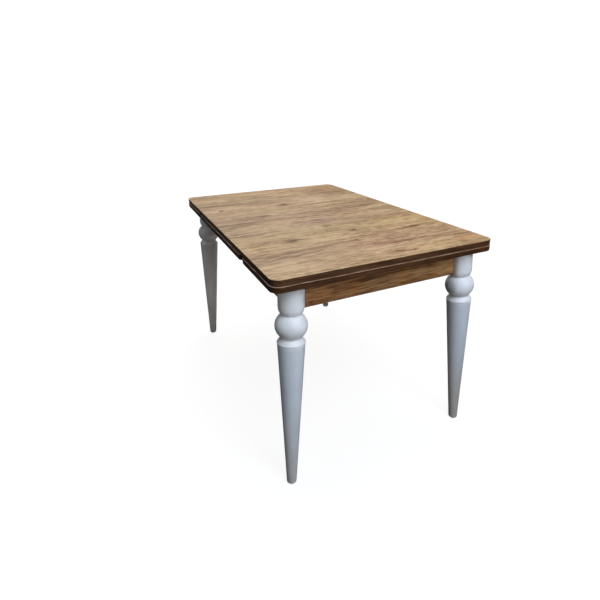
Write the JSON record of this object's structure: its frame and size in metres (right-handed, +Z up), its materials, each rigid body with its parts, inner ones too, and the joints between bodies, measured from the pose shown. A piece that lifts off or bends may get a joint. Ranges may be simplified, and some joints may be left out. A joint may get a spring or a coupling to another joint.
{
  "type": "extending dining table",
  "caption": "Rectangular draw-leaf dining table: oak-look boards with dark edges, pull-out end leaves under a lift-up top, on white turned tapering legs.",
  "frame": {"origin": "on the floor, under the middle of the table", "axes": "+X along the table's length, the way the right leaf pulls out; +Y towards the back; +Z up"},
  "size_m": [1.2, 0.8, 0.765],
  "materials": {
    "oak_laminate": "satin knotty oak decor laminate, grain across the table",
    "apron_laminate": "satin oak decor laminate, grain along the apron",
    "dark_edge": "satin dark walnut edge band",
    "white_lacquer": "satin white lacquer on turned beech",
    "beech": "plain planed beech",
    "zinc_steel": "bright zinc plate",
    "foot_plastic": "matt moulded foot pad",
    "nylon": "natural nylon",
    "felt": "dense wool felt"
  },
  "bodies": {
    "frame": {"back_apron": "apron_laminate", "back_cleat": "beech", "centre_board": "oak_laminate", "centre_board_band": "dark_edge", "centre_board_screws": "zinc_steel", "cleat_screws": "zinc_steel", "corner_block_screws": "zinc_steel", "corner_blocks": "beech", "cross_rail_left": "beech", "cross_rail_right": "beech", "end_apron_left": "apron_laminate", "end_apron_right": "apron_laminate", "felt_pads": "felt", "foot_pads": "foot_plastic", "front_apron": "apron_laminate", "front_cleat": "beech", "leg_back_left": "white_lacquer", "leg_back_right": "white_lacquer", "leg_front_left": "white_lacquer", "leg_front_right": "white_lacquer", "leg_hanger_bolts": "zinc_steel", "leg_nuts": "zinc_steel", "leg_washers": "zinc_steel", "peg_bushes": "nylon", "rail_bracket_screws": "zinc_steel", "rail_brackets": "zinc_steel", "runner_glides": "nylon"},
    "top": {"main_top": "oak_laminate", "main_top_band": "dark_edge", "guide_pegs": "beech"},
    "leaf_right": {"leaf_right": "oak_laminate", "leaf_right_band": "dark_edge", "runner_right_back": "beech", "runner_right_front": "beech", "runner_screws_right": "zinc_steel", "stop_blocks_right": "beech", "stop_screws_right": "zinc_steel"},
    "leaf_left": {"leaf_left": "oak_laminate", "leaf_left_band": "dark_edge", "runner_left_back": "beech", "runner_left_front": "beech", "runner_screws_left": "zinc_steel", "stop_blocks_left": "beech", "stop_screws_left": "zinc_steel"}
  },
  "joints": [
    {"name": "leaf_right_slide", "type": "slide", "parent": "frame", "child": "leaf_right", "axis": [1, 0, 0], "range_m": [0, 0.3]},
    {"name": "leaf_left_slide", "type": "slide", "parent": "frame", "child": "leaf_left", "axis": [-1, 0, 0], "range_m": [0, 0.3]},
    {"name": "top_lift", "type": "slide", "parent": "frame", "child": "top", "axis": [0, 0, 1], "range_m": [0, 0.021]}
  ]
}
